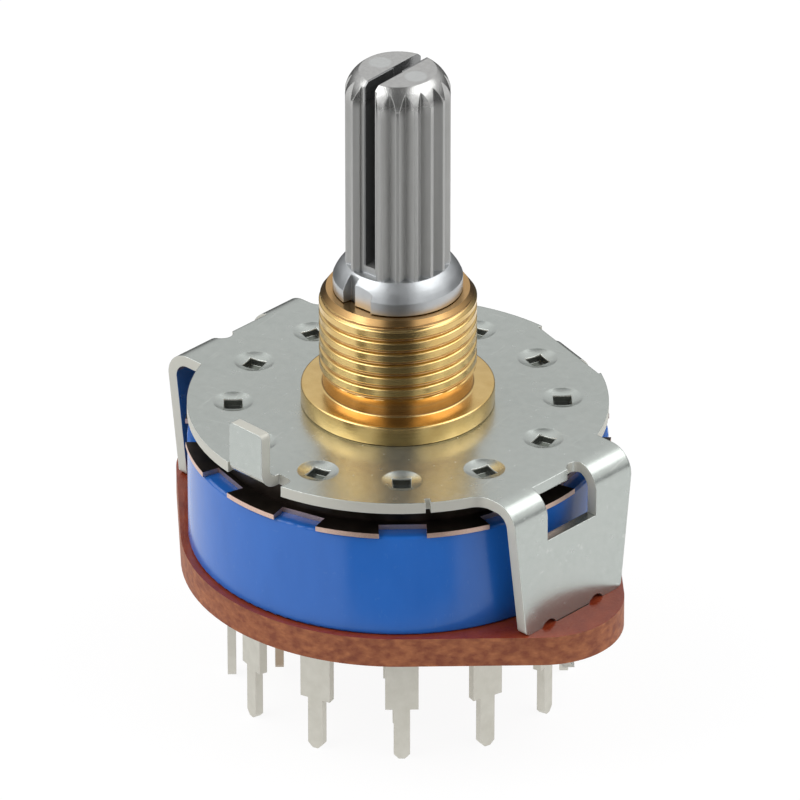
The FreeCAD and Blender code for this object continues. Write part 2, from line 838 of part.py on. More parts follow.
def make_terminal_base():
    """The laminate base: a round plate with two square lobes under the arms, slotted for blades and tabs."""
    body = new_body("terminal_base")
    outline = level_sketch(body, "outline", BASE_FLOOR)
    side = sizes.base_radius
    lobe = sizes.base_lobe_reach
    corner = sizes.base_corner_radius
    draw_loop(outline, [
        (0, -side, side),
        (lobe - corner, -side),
        (lobe, corner - side, corner),
        (side, 0),
        (0, side, side),
        (corner - lobe, side),
        (-lobe, side - corner, corner),
        (-side, 0),
    ])
    pad(body, outline, sizes.base_thickness)
    half_thickness = sizes.blade_thickness / 2 + sizes.blade_clearance
    for name, reach, width, count in (
        ("throw_slot", sizes.throw_circle_radius, sizes.throw_blade_width, sizes.throw_count),
        ("common_slot", sizes.common_circle_radius, sizes.common_blade_width, 4),
    ):
        slot = level_sketch(body, name, BASE_TOP, 0)
        half_width = width / 2 + sizes.blade_clearance
        draw_box(slot, reach - half_thickness, reach + half_thickness, -half_width, half_width)
        repeat(body, f"{name}s", [pocket(body, slot, sizes.base_thickness)], count)
    tab_slot = level_sketch(body, "tab_slot", BASE_TOP, sizes.arm_azimuth)
    half_tab = sizes.tab_width / 2 + sizes.blade_clearance
    tab_inside = sizes.arm_reach - sizes.plate_thickness - sizes.blade_clearance
    draw_box(tab_slot, tab_inside, sizes.arm_reach + sizes.blade_clearance, -half_tab, half_tab)
    repeat(body, "tab_slots", [pocket(body, tab_slot, sizes.base_thickness)], 2)


# Terminals

def stamp_blade(body, reach, blade_width, pin_width, shoulder, tip):
    """A stamped blade through the base, with square shoulders above a pointed pin."""
    outline = face_sketch(body, "blade", 0, reach)
    half_blade = blade_width / 2
    half_pin = pin_width / 2
    half_point = sizes.pin_point_width / 2
    point_start = tip + sizes.pin_point_height
    draw_loop(outline, [
        (half_blade, BASE_TOP),
        (-half_blade, BASE_TOP),
        (-half_blade, shoulder),
        (-half_pin, shoulder),
        (-half_pin, point_start),
        (-half_point, tip),
        (half_point, tip),
        (half_pin, point_start),
        (half_pin, shoulder),
        (half_blade, shoulder),
    ])
    pad(body, outline, sizes.blade_thickness, symmetric=True)


def make_throw_terminal(number):
    body = new_body(f"throw_terminal_{number + 1:02d}")
    stamp_blade(body, sizes.throw_circle_radius, sizes.throw_blade_width, sizes.throw_pin_width,
                sizes.throw_shoulder, sizes.throw_tip)
    head = level_sketch(body, "contact", BASE_TOP, 0)
    draw_circle(head, sizes.throw_head_radius, sizes.throw_circle_radius, 0)
    pad(body, head, sizes.contact_thickness)
    stand_at(body, 360 * number / sizes.throw_count.value)


def make_common_terminal(number):
    body = new_body(f"common_terminal_{'abcd'[number]}")
    stamp_blade(body, sizes.common_circle_radius, sizes.common_blade_width, sizes.throw_pin_width,
                sizes.common_shoulder, sizes.common_tip)
    arc = level_sketch(body, "contact", BASE_TOP)
    half_width = sizes.common_arc_width / 2
    half_angle = sizes.common_arc_angle / 2
    draw_sector(arc, sizes.common_circle_radius - half_width, sizes.common_circle_radius + half_width,
                -half_angle, half_angle)
    pad(body, arc, sizes.contact_thickness)
    stand_at(body, 90 * number)


# Rotor and what it carries

def make_rotor():
    """The moulded drum: hub on the shaft's flats, rim with two spring pockets, and a rib between stops."""
    body = turned_body("rotor", [
        (0, sizes.rotor_floor),
        (sizes.rotor_radius, sizes.rotor_floor),
        (sizes.rotor_radius, sizes.rotor_shoulder),
        (sizes.rotor_crown_radius, sizes.rotor_shoulder),
        (sizes.rotor_crown_radius, sizes.rotor_crown_top),
        (sizes.rotor_rim_radius, sizes.rotor_crown_top),
        (sizes.rotor_rim_radius, sizes.rotor_web_top),
        (sizes.rotor_hub_radius, sizes.rotor_web_top),
        (sizes.rotor_hub_radius, sizes.rotor_crown_top),
        (0, sizes.rotor_crown_top),
    ])
    bore = level_sketch(body, "bore", sizes.rotor_crown_top, sizes.split_azimuth)
    radius = sizes.tail_radius + sizes.seat_clearance
    half_flat = sizes.tail_flats / 2 + sizes.seat_clearance
    half_chord = root(radius * radius - half_flat * half_flat)
    draw_loop(bore, [
        (half_chord, -half_flat),
        (half_chord, half_flat, radius),
        (-half_chord, half_flat),
        (-half_chord, -half_flat, radius),
    ])
    pocket(body, bore, sizes.rotor_crown_top - sizes.rotor_floor)
    spring_pocket = level_sketch(body, "spring_pocket", sizes.rotor_crown_top, sizes.ball_azimuth)
    draw_circle(spring_pocket, sizes.pocket_radius, sizes.dimple_circle_radius, 0)
    cut = pocket(body, spring_pocket, sizes.rotor_crown_top - sizes.pocket_floor)
    repeat(body, "spring_pockets", [cut], 2)
    half_rib = sizes.stop_rib_angle / 2
    for number, side in enumerate((-1, 1)):
        near = sizes.stop_rib_azimuth + half_rib * side
        far = near + sizes.recess_sweep * side
        recess = level_sketch(body, f"stop_recess_{number}", sizes.rotor_crown_top)
        first, last = (far, near) if side < 0 else (near, far)
        draw_sector(recess, sizes.rotor_recess_radius, sizes.rotor_crown_radius + 0.3, first, last)
        pocket(body, recess, sizes.rotor_crown_top - sizes.rotor_recess_floor)


def make_retaining_ring():
    """The open spring ring in the tail's groove, which holds the rotor up."""
    body = new_body("retaining_ring")
    floor = sizes.rotor_floor - sizes.retainer_thickness
    ring = level_sketch(body, "ring", floor)
    draw_circle(ring, sizes.retainer_radius)
    draw_circle(ring, sizes.retainer_bore_radius)
    pad(body, ring, sizes.retainer_thickness)
    half_prong = sizes.retainer_prong_width / 2
    for number, azimuth in enumerate((90, 180, 270)):
        prong = level_sketch(body, f"prong_{number}", floor, azimuth)
        draw_box(prong, sizes.retainer_seat_radius, sizes.retainer_bore_radius + 0.3, -half_prong, half_prong)
        pad(body, prong, sizes.retainer_thickness)
    mouth = level_sketch(body, "mouth", sizes.rotor_floor, 0)
    half_mouth = sizes.retainer_mouth / 2
    draw_box(mouth, 1, sizes.retainer_radius + 1, -half_mouth, half_mouth)
    pocket(body, mouth, sizes.retainer_thickness)


def make_detent_ball(number):
    ball = doc.addObject("Part::Sphere", f"detent_ball_{number + 1}")
    azimuth = sizes.ball_azimuth + 180 * number
    bind(ball, "Radius", sizes.ball_radius)
    bind(ball, "Placement.Base.x", sizes.dimple_circle_radius * sine(azimuth))
    bind(ball, "Placement.Base.y", -(sizes.dimple_circle_radius * cosine(azimuth)))
    bind(ball, "Placement.Base.z", sizes.ball_centre_height)
    subparts.append(ball)


def make_detent_spring(number):
    """A wire coil from the pocket's floor to the underside of the ball."""
    name = f"detent_spring_{number + 1}"
    azimuth = sizes.ball_azimuth + 180 * number
    wire = sizes.spring_wire_radius
    reach = sizes.ball_radius + wire + sizes.seat_clearance
    ball_drop = root(reach * reach - sizes.spring_radius * sizes.spring_radius)
    coil = doc.addObject("Part::Helix", f"{name}_coil")
    bind(coil, "Radius", sizes.spring_radius)
    bind(coil, "Pitch", sizes.spring_pitch)
    bind(coil, "Height", sizes.ball_centre_height - ball_drop - sizes.pocket_floor - wire)
    section = doc.addObject("Part::Circle", f"{name}_section")
    bind(section, "Radius", wire)
    section.Placement = FreeCAD.Placement(FreeCAD.Vector(), FreeCAD.Rotation(FreeCAD.Vector(1, 0, 0), 90))
    bind(section, "Placement.Base.x", sizes.spring_radius)
    spring = doc.addObject("Part::Sweep", name)
    spring.Sections = [section]
    spring.Spine = (coil, [])
    spring.Solid = True
    spring.Frenet = True
    bind(spring, "Placement.Base.x", sizes.dimple_circle_radius * sine(azimuth))
    bind(spring, "Placement.Base.y", -(sizes.dimple_circle_radius * cosine(azimuth)))
    bind(spring, "Placement.Base.z", sizes.pocket_floor + wire)
    subparts.append(spring)


def make_wiper(number):
    """A bowed strip under the rotor that bridges a common arc and a throw contact."""
    body = new_body(f"wiper_{'abcd'[number]}")
    thickness = sizes.wiper_thickness
    crest = sizes.rotor_floor - thickness
    tip = BASE_TOP + sizes.contact_thickness + sizes.wiper_gap
    inner = sizes.common_circle_radius
    outer = sizes.throw_circle_radius
    foot = sizes.wiper_foot
    leg = sizes.wiper_foot + sizes.wiper_leg
    toe = sizes.wiper_foot + sizes.wiper_toe
    underside = [
        (inner - toe, tip + sizes.wiper_toe_rise),
        (inner - foot, tip),
        (inner + foot, tip),
        (inner + leg, crest),
        (outer - leg, crest),
        (outer - foot, tip),
        (outer + foot, tip),
        (outer + toe, tip + sizes.wiper_toe_rise),
    ]
    section = section_sketch(body, "section")
    draw_loop(section, underside + [(across, up + thickness) for across, up in reversed(underside)])
    pad(body, section, sizes.wiper_width, symmetric=True)
    stand_at(body, 90 * number)


def write_parts():
    doc.recompute()
    for item in doc.Objects:
        if "Invalid" in item.State or "Error" in item.State:
            raise RuntimeError(f"{item.Name} failed: {item.State}")
    for subpart in subparts:
        shape = subpart.Shape
        if shape.isNull() or not shape.isValid() or len(shape.Solids) != 1:
            raise RuntimeError(f"{subpart.Label} isn't one valid solid")
    os.makedirs("parts", exist_ok=True)
    for subpart in subparts:
        subpart.Shape.exportStep(f"parts/{subpart.Label}.step")
        print(subpart.Label, round(subpart.Shape.Volume, 2))


make_shaft()
make_threaded_bushing()
make_mounting_plate()
make_stop_ring()
make_housing()
make_terminal_base()
for index in range(int(sizes.throw_count.value)):
    make_throw_terminal(index)
for index in range(4):
    make_common_terminal(index)
    make_wiper(index)
make_rotor()
make_retaining_ring()
for index in range(2):
    make_detent_ball(index)
    make_detent_spring(index)
write_parts()
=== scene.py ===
import math

import bpy
import numpy as np
from mathutils import Matrix, Vector


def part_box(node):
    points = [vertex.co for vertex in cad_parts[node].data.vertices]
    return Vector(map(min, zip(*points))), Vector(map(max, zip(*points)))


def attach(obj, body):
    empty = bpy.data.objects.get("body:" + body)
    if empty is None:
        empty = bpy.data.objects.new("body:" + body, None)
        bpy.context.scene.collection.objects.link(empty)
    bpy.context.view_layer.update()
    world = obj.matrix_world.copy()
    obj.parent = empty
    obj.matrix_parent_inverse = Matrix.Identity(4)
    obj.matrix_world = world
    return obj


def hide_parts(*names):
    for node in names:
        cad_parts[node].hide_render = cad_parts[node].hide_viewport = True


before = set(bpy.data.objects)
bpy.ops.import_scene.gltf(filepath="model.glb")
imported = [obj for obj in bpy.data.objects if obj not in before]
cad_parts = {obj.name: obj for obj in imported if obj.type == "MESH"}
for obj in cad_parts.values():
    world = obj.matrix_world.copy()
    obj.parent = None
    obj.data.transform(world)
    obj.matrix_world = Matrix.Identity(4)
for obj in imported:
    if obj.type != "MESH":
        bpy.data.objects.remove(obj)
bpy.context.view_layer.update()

# Lengths are in millimetres, and times MM where Blender takes metres. Z is the shaft's axis, with the
# panel seat at 0. Azimuths are in degrees from the front, -Y, towards the right, +X.
MM = 0.001


def top_of(node):
    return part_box(node)[1][2] / MM


def floor_of(node):
    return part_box(node)[0][2] / MM


def radius_of(node):
    return (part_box(node)[1][0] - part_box(node)[0][0]) / 2 / MM


def outwards(azimuth):
    """The level direction away from the axis, at an azimuth."""
    turn = math.radians(azimuth)
    return (math.sin(turn), -math.cos(turn), 0)


def across(azimuth):
    """The level direction across what stands at an azimuth."""
    turn = math.radians(azimuth)
    return (math.cos(turn), math.sin(turn), 0)


PLATE_TOP = -1.2
STAKE_FLOOR = floor_of("threaded_bushing")
BUSHING_TOP = top_of("threaded_bushing")
SHAFT_TOP = top_of("shaft")
FLOOR_LEVEL = floor_of("throw_terminal_01")
ARM_AZIMUTH = 45.0
LUG_AZIMUTH = -46.0
SPLIT_AZIMUTH = -41.5


# Camera: the photograph's viewpoint, in front of the switch and above it

VIEW_AZIMUTH = math.radians(-1.348)
VIEW_ELEVATION = math.radians(29.173)
VIEW_DISTANCE = 608.35
FOCAL_PIXELS = 10659.0
FRAME_PIXELS = 800.0
AIM_PIXEL = (397.885, 399.228)


def set_camera():
    back = Vector((
        math.sin(VIEW_AZIMUTH) * math.cos(VIEW_ELEVATION),
        -math.cos(VIEW_AZIMUTH) * math.cos(VIEW_ELEVATION),
        math.sin(VIEW_ELEVATION),
    ))
    right = Vector((math.cos(VIEW_AZIMUTH), math.sin(VIEW_AZIMUTH), 0))
    up = back.cross(right)
    data = bpy.data.cameras.new("camera")
    camera = bpy.data.objects.new("camera", data)
    bpy.context.scene.collection.objects.link(camera)
    turn = Matrix((right, up, back)).transposed().to_4x4()
    place = (Vector((0, 0, PLATE_TOP)) + back * VIEW_DISTANCE) * MM
    camera.matrix_world = Matrix.Translation(place) @ turn
    data.sensor_width = 36
    data.lens = FOCAL_PIXELS * data.sensor_width / FRAME_PIXELS
    data.shift_x = (FRAME_PIXELS / 2 - AIM_PIXEL[0]) / FRAME_PIXELS
    data.shift_y = (AIM_PIXEL[1] - FRAME_PIXELS / 2) / FRAME_PIXELS
    data.clip_start = 0.01
    data.clip_end = 10
    bpy.context.scene.camera = camera


# Threaded bushing

BORE_RADIUS = 3.05
BORE_SEAM = 2.0
STAKE_RADIUS = 4.4
STAKE_HEIGHT = 0.3
SPIGOT_RADIUS = 4.0
FLANGE_RADIUS = radius_of("threaded_bushing")
UNDERCUT_RADIUS = 4.3
UNDERCUT_FLARE = 0.05
FLARE_HEIGHT = 0.2
THREAD_START = 1.0
THREAD_END = BUSHING_TOP - 0.04
THREAD_RADIUS = 4.5
THREAD_DEPTH = 0.2
THREAD_PITCH = 0.75
THREAD_PHASE = 0.567
ROOT_SHARE = 0.1
FLANK_SHARE = 0.4
RUN_OUT_SLOPE = 0.5
CHAMFER = 0.4
CHAMFER_HEIGHT = 0.55
CORNER_CURVE = 0.14
MOUTH_CURVE = 0.15
ROW_HEIGHT = 0.025
COLUMNS = 256
SHARP_ANGLE = math.radians(50)


def rounded(corners, curve, steps=4):
    """Rounds each corner of an open outline with a parabola that starts and ends the curve's length away."""
    corners = np.array(corners, float)
    points = [corners[0]]
    for before, corner, after in zip(corners[:-2], corners[1:-1], corners[2:]):
        reach_in = min(curve, np.linalg.norm(corner - before) / 2.2)
        reach_out = min(curve, np.linalg.norm(after - corner) / 2.2)
        start = corner + (before - corner) / np.linalg.norm(before - corner) * reach_in
        end = corner + (after - corner) / np.linalg.norm(after - corner) * reach_out
        for share in np.linspace(0, 1, steps):
            rest = 1 - share
            points.append(rest ** 2 * start + 2 * share * rest * corner + share ** 2 * end)
    points.append(corners[-1])
    return np.array(points)


def threaded_outline(azimuths):
    """The outline of the bushing at each azimuth, as radius and height over outline point and azimuth.

    In the threaded stretch the radius is the crest's less the thread's depth times a groove function of the
    phase. The phase is the height over the pitch less the azimuth over a full turn, so the groove is a
    right-hand helix. The radius is limited by the chamfer at the top and by the run-out at the bottom.
    """
    below = rounded([
        (BORE_RADIUS, BORE_SEAM),
        (BORE_RADIUS, STAKE_FLOOR),
        (STAKE_RADIUS, STAKE_FLOOR),
        (STAKE_RADIUS, STAKE_FLOOR + STAKE_HEIGHT),
        (SPIGOT_RADIUS, STAKE_FLOOR + STAKE_HEIGHT),
        (SPIGOT_RADIUS, PLATE_TOP),
        (FLANGE_RADIUS, PLATE_TOP),
        (FLANGE_RADIUS, 0),
        (UNDERCUT_RADIUS, 0),
        (UNDERCUT_RADIUS, THREAD_START - FLARE_HEIGHT),
        (UNDERCUT_RADIUS + UNDERCUT_FLARE, THREAD_START),
    ], CORNER_CURVE)
    heights = np.arange(THREAD_START + ROW_HEIGHT, THREAD_END, ROW_HEIGHT)
    above = rounded([
        (THREAD_RADIUS - CHAMFER, BUSHING_TOP),
        (BORE_RADIUS, BUSHING_TOP),
        (BORE_RADIUS, BORE_SEAM + 0.1),
    ], MOUTH_CURVE)
    phase = (heights[:, None] / THREAD_PITCH - azimuths[None, :] / (2 * np.pi) + THREAD_PHASE) % 1
    rise = np.clip((np.abs(2 * phase - 1) - ROOT_SHARE) / FLANK_SHARE, 0, 1)
    rise = rise ** 2 * (3 - 2 * rise)
    thread = THREAD_RADIUS - THREAD_DEPTH * (1 - rise)
    along_chamfer = np.clip((heights - BUSHING_TOP + CHAMFER_HEIGHT) / CHAMFER_HEIGHT, 0, 1)
    along_run_out = np.clip((heights - THREAD_START) * RUN_OUT_SLOPE, 0, 1)
    limit = np.minimum(THREAD_RADIUS - CHAMFER * along_chamfer,
                       UNDERCUT_RADIUS + UNDERCUT_FLARE + along_run_out)
    columns = len(azimuths)
    radii = np.concatenate([
        np.repeat(below[:, :1], columns, 1),
        np.minimum(thread, limit[:, None]),
        np.repeat(above[:, :1], columns, 1),
    ])
    levels = np.concatenate([below[:, 1], heights, above[:, 1]])
    return radii, np.repeat(levels[:, None], columns, 1)


def revolve(radii, levels, azimuths):
    """Points and quads of a closed outline turned once round the axis, with the faces outward.

    A point lies at its radius times the azimuth's cosine and sine, and at its level.
    """
    rows, columns = radii.shape
    points = np.stack([radii * np.cos(azimuths), radii * np.sin(azimuths), levels], -1).reshape(-1, 3)
    index = np.arange(rows * columns).reshape(rows, columns)
    next_row = np.roll(index, -1, 0)
    quads = np.stack([
        index, np.roll(index, -1, 1), np.roll(next_row, -1, 1), next_row,
    ], -1).reshape(-1, 4)
    return points, quads


def add_threaded_bushing():
    """The turned bushing with its thread cut, closed round the bore, stake, flange and thread."""
    azimuths = np.linspace(0, 2 * np.pi, COLUMNS, endpoint=False)
    radii, levels = threaded_outline(azimuths)
    points, quads = revolve(radii, levels, azimuths)
    mesh = bpy.data.meshes.new("bushing_with_thread")
    mesh.from_pydata(points * MM, [], quads.tolist())
    mesh.shade_smooth()
    mesh.set_sharp_from_angle(angle=SHARP_ANGLE)
    piece = bpy.data.objects.new("bushing_with_thread", mesh)
    bpy.context.scene.collection.objects.link(piece)
    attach(piece, "stator")
    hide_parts("threaded_bushing")
    return piece


# Shader parts

def add_node(tree, kind, inputs=(), **settings):
    """Adds a node, and gives its inputs a value or another node's output."""
    made = tree.nodes.new(kind)
    for setting, value in settings.items():
        setattr(made, setting, value)
    for socket, value in inputs:
        if isinstance(value, bpy.types.NodeSocket):
            tree.links.new(value, made.inputs[socket])
        else:
            made.inputs[socket].default_value = value
    return made


def compute(tree, operation, first, second=0.0, third=0.0):
    made = add_node(tree, "ShaderNodeMath", [(0, first), (1, second), (2, third)], operation=operation)
    return made.outputs[0]


def multiply(tree, first, second):
    return compute(tree, "MULTIPLY", first, second)


def rest_of(tree, share):
    """What a share leaves of 1."""
    return compute(tree, "SUBTRACT", 1.0, share)


def step_up(tree, value, start, end):
    """0 below the start, 1 above the end, and smooth between."""
    made = add_node(tree, "ShaderNodeMapRange", [(0, value), (1, start), (2, end), (3, 0.0), (4, 1.0)],
                    interpolation_type="SMOOTHSTEP")
    return made.outputs[0]


def step_down(tree, value, start, end):
    """1 below the start, 0 above the end, and smooth between."""
    return rest_of(tree, step_up(tree, value, start, end))


def spread(tree, value, low, high):
    """Low where the value is 0, high where it is 1."""
    made = add_node(tree, "ShaderNodeMapRange", [(0, value), (1, 0.0), (2, 1.0), (3, low), (4, high)])
    return made.outputs[0]


def dot(tree, first, second):
    made = add_node(tree, "ShaderNodeVectorMath", [(0, first), (1, second)], operation="DOT_PRODUCT")
    return made.outputs["Value"]


def upward_part(tree, vector):
    """The part of a vector along Z."""
    return add_node(tree, "ShaderNodeSeparateXYZ", [(0, vector)]).outputs[2]


def mix_values(tree, share, first, second):
    return add_node(tree, "ShaderNodeMix", [(0, share), (2, first), (3, second)]).outputs[0]


def mix_colours(tree, share, first, second):
    made = add_node(tree, "ShaderNodeMix", [(0, share), (6, first), (7, second)], data_type="RGBA")
    return made.outputs[2]


def place_in_mm(tree):
    """The place on the object, in millimetres."""
    place = add_node(tree, "ShaderNodeTexCoord").outputs["Object"]
    made = add_node(tree, "ShaderNodeVectorMath", [(0, place), ("Scale", 1 / MM)], operation="SCALE")
    return made.outputs[0]


def height_in_mm(tree):
    return upward_part(tree, place_in_mm(tree))


def radius_in_mm(tree):
    """The distance from the Z axis, in millimetres."""
    parts = add_node(tree, "ShaderNodeSeparateXYZ", [(0, place_in_mm(tree))]).outputs
    squares = compute(tree, "MULTIPLY_ADD", parts[0], parts[0], multiply(tree, parts[1], parts[1]))
    return compute(tree, "SQRT", squares)


def facing_up(tree):
    """1 on level faces, 0 on upright ones."""
    normal = add_node(tree, "ShaderNodeNewGeometry").outputs["True Normal"]
    return compute(tree, "ABSOLUTE", upward_part(tree, normal))


# Shader groups: effects that materials share

PIT_TOP = PLATE_TOP - 0.19
PIT_FLOOR = PLATE_TOP - 0.63
PITS_INNER_RADIUS = 7.9
PITS_OUTER_RADIUS = 10.6
ARM_FACE_START = 12.1


def new_group(name, inputs):
    """A group with the named inputs and one output, Value."""
    tree = bpy.data.node_groups.new(name, "ShaderNodeTree")
    for label, kind, value in inputs:
        socket = tree.interface.new_socket(name=label, in_out="INPUT", socket_type=kind)
        socket.default_value = value
    tree.interface.new_socket(name="Value", in_out="OUTPUT", socket_type="NodeSocketFloat")
    return tree, tree.nodes.new("NodeGroupInput").outputs, tree.nodes.new("NodeGroupOutput").inputs


def make_grain():
    """Noise with grains of a size in millimetres, stretched by a vector, round 0.5 with a contrast."""
    tree, given, result = new_group("grain", [
        ("Size", "NodeSocketFloat", 0.2),
        ("Stretch", "NodeSocketVector", (1, 1, 1)),
        ("Contrast", "NodeSocketFloat", 1.0),
    ])
    place = add_node(tree, "ShaderNodeVectorMath", [(0, place_in_mm(tree)), (1, given["Stretch"])],
                     operation="DIVIDE").outputs[0]
    scale = compute(tree, "DIVIDE", 1.0, given["Size"])
    noise = add_node(tree, "ShaderNodeTexNoise", [("Vector", place), ("Scale", scale), ("Detail", 3.0)])
    centred = compute(tree, "SUBTRACT", noise.outputs[0], 0.5)
    value = compute(tree, "MULTIPLY_ADD", centred, given["Contrast"], 0.5)
    tree.links.new(add_node(tree, "ShaderNodeClamp", [(0, value)]).outputs[0], result["Value"])
    return tree


def make_turning_marks():
    """Fine rings round the Z axis, as a lathe leaves them: noise of the radius and the height alone."""
    tree, given, result = new_group("turning_marks", [("Size", "NodeSocketFloat", 0.05)])
    height = height_in_mm(tree)
    place = add_node(tree, "ShaderNodeCombineXYZ", [(0, radius_in_mm(tree)), (1, height)]).outputs[0]
    scale = compute(tree, "DIVIDE", 1.0, given["Size"])
    noise = add_node(tree, "ShaderNodeTexNoise", [("Vector", place), ("Scale", scale), ("Detail", 2.0)])
    tree.links.new(noise.outputs[0], result["Value"])
    return tree


def make_scratches():
    """Thin straight scratches in two directions, few and faint: stretched noise, cut off near its peaks."""
    tree, given, result = new_group("scratches", [("Share", "NodeSocketFloat", 0.3)])
    marks = []
    for turn, drift in ((0.5, 0.0), (2.2, 7.0)):
        turned = add_node(tree, "ShaderNodeVectorRotate", [(0, place_in_mm(tree)), ("Angle", turn)],
                          rotation_type="Z_AXIS").outputs[0]
        place = add_node(tree, "ShaderNodeVectorMath", [(0, turned), (1, (0.3, 9.0, 2.0))],
                         operation="MULTIPLY").outputs[0]
        noise = add_node(tree, "ShaderNodeTexNoise", [("Vector", place), ("W", drift), ("Scale", 1.1)],
                         noise_dimensions="4D")
        marks.append(step_up(tree, noise.outputs[0], 0.66, 0.72))
    both = compute(tree, "MAXIMUM", marks[0], marks[1])
    tree.links.new(multiply(tree, both, given["Share"]), result["Value"])
    return tree


def make_worn_edges():
    """1 at sharp edges, where the rounded normal leaves the face's own."""
    tree, given, result = new_group("worn_edges", [("Radius", "NodeSocketFloat", 0.08)])
    reach = multiply(tree, given["Radius"], MM)
    rounded_normal = add_node(tree, "ShaderNodeBevel", [("Radius", reach)], samples=4).outputs[0]
    own_normal = add_node(tree, "ShaderNodeNewGeometry").outputs["Normal"]
    likeness = dot(tree, rounded_normal, own_normal)
    tree.links.new(step_up(tree, rest_of(tree, likeness), 0.03, 0.25), result["Value"])
    return tree


def in_pits(tree):
    """1 in the square pits of the dimples, which lie in a ring below the dishes."""
    height = height_in_mm(tree)
    deep = step_down(tree, height, PIT_TOP - 0.11, PIT_TOP)
    above_floor = step_up(tree, height, PIT_FLOOR, PIT_FLOOR + 0.01)
    radius = radius_in_mm(tree)
    within = step_down(tree, radius, PITS_OUTER_RADIUS, PITS_OUTER_RADIUS + 0.1)
    beyond = step_up(tree, radius, PITS_INNER_RADIUS, PITS_INNER_RADIUS + 0.1)
    return multiply(tree, multiply(tree, deep, above_floor), multiply(tree, within, beyond))


def make_pit_shade():
    """A share of the mask of the pits, which paints shade into them."""
    tree, given, result = new_group("pits", [("Share", "NodeSocketFloat", 1.0)])
    tree.links.new(multiply(tree, in_pits(tree), given["Share"]), result["Value"])
    return tree


def make_cut_edges():
    """1 on the cut edges of the folded plate, and 0 on the faces of its sheet.

    On the disc and below it the cut edges are where the normal is level, apart from the pits. On the arms,
    which lie further out, they face across the arm, and on the lug, above the disc, across the lug or up.
    """
    tree, given, result = new_group("cut_edges", [("Sharpness", "NodeSocketFloat", 0.1)])
    place = place_in_mm(tree)
    normal = add_node(tree, "ShaderNodeNewGeometry").outputs["True Normal"]

    def along(vector, direction):
        return compute(tree, "ABSOLUTE", dot(tree, vector, direction))

    full = compute(tree, "ADD", 0.5, given["Sharpness"])
    level = step_down(tree, along(normal, (0, 0, 1)), 0.5, full)
    level = multiply(tree, level, rest_of(tree, in_pits(tree)))
    across_arm = step_up(tree, along(normal, across(ARM_AZIMUTH)), 0.5, full)
    across_lug = step_up(tree, along(normal, across(LUG_AZIMUTH)), 0.5, full)
    upright = step_up(tree, along(normal, (0, 0, 1)), 0.5, full)
    on_arm = step_up(tree, along(place, outwards(ARM_AZIMUTH)), ARM_FACE_START, ARM_FACE_START + 0.1)
    on_lug = step_up(tree, upward_part(tree, place), PLATE_TOP + 0.02, PLATE_TOP + 0.1)
    edge = mix_values(tree, on_arm, level, across_arm)
    edge = mix_values(tree, on_lug, edge, compute(tree, "MAXIMUM", across_lug, upright))
    tree.links.new(edge, result["Value"])
    return tree


GROUPS = {
    "grain": make_grain(),
    "turning_marks": make_turning_marks(),
    "scratches": make_scratches(),
    "worn_edges": make_worn_edges(),
    "cut_edges": make_cut_edges(),
    "pits": make_pit_shade(),
}


def use_group(tree, name, **inputs):
    made = tree.nodes.new("ShaderNodeGroup")
    made.node_tree = GROUPS[name]
    for socket, value in inputs.items():
        made.inputs[socket].default_value = value
    return made.outputs["Value"]


# Materials

COLLAR_TOP = 7.9
SPLIT_FLOOR = 8.3
SPLIT_HALF_WIDTH = 0.41
EJECTOR_MARK = (0.98, -0.87)
EJECTOR_MARK_RADIUS = 0.52
RING_FLANGE_START = 11.0


def new_material(name, metallic=0.0):
    material = bpy.data.materials.new(name)
    material.use_nodes = True
    shader = material.node_tree.nodes["Principled BSDF"]
    shader.inputs["Metallic"].default_value = metallic
    return material.node_tree, shader, material


def colour(red, green, blue):
    return (red, green, blue, 1)


def set_surface(tree, shader, base, roughness, height, depth):
    """Joins colour and roughness to the shader, and a bump by a height whose depth is in millimetres."""
    tree.links.new(base, shader.inputs["Base Color"])
    tree.links.new(roughness, shader.inputs["Roughness"])
    bump = add_node(tree, "ShaderNodeBump", [("Strength", 1.0), ("Distance", depth * MM), ("Height", height)])
    tree.links.new(bump.outputs[0], shader.inputs["Normal"])
    return bump


def soften_edges(tree, bump, radius):
    """Feeds the bump a normal that is rounded at the edges."""
    bevel = add_node(tree, "ShaderNodeBevel", [("Radius", radius * MM)], samples=6)
    tree.links.new(bevel.outputs[0], bump.inputs["Normal"])


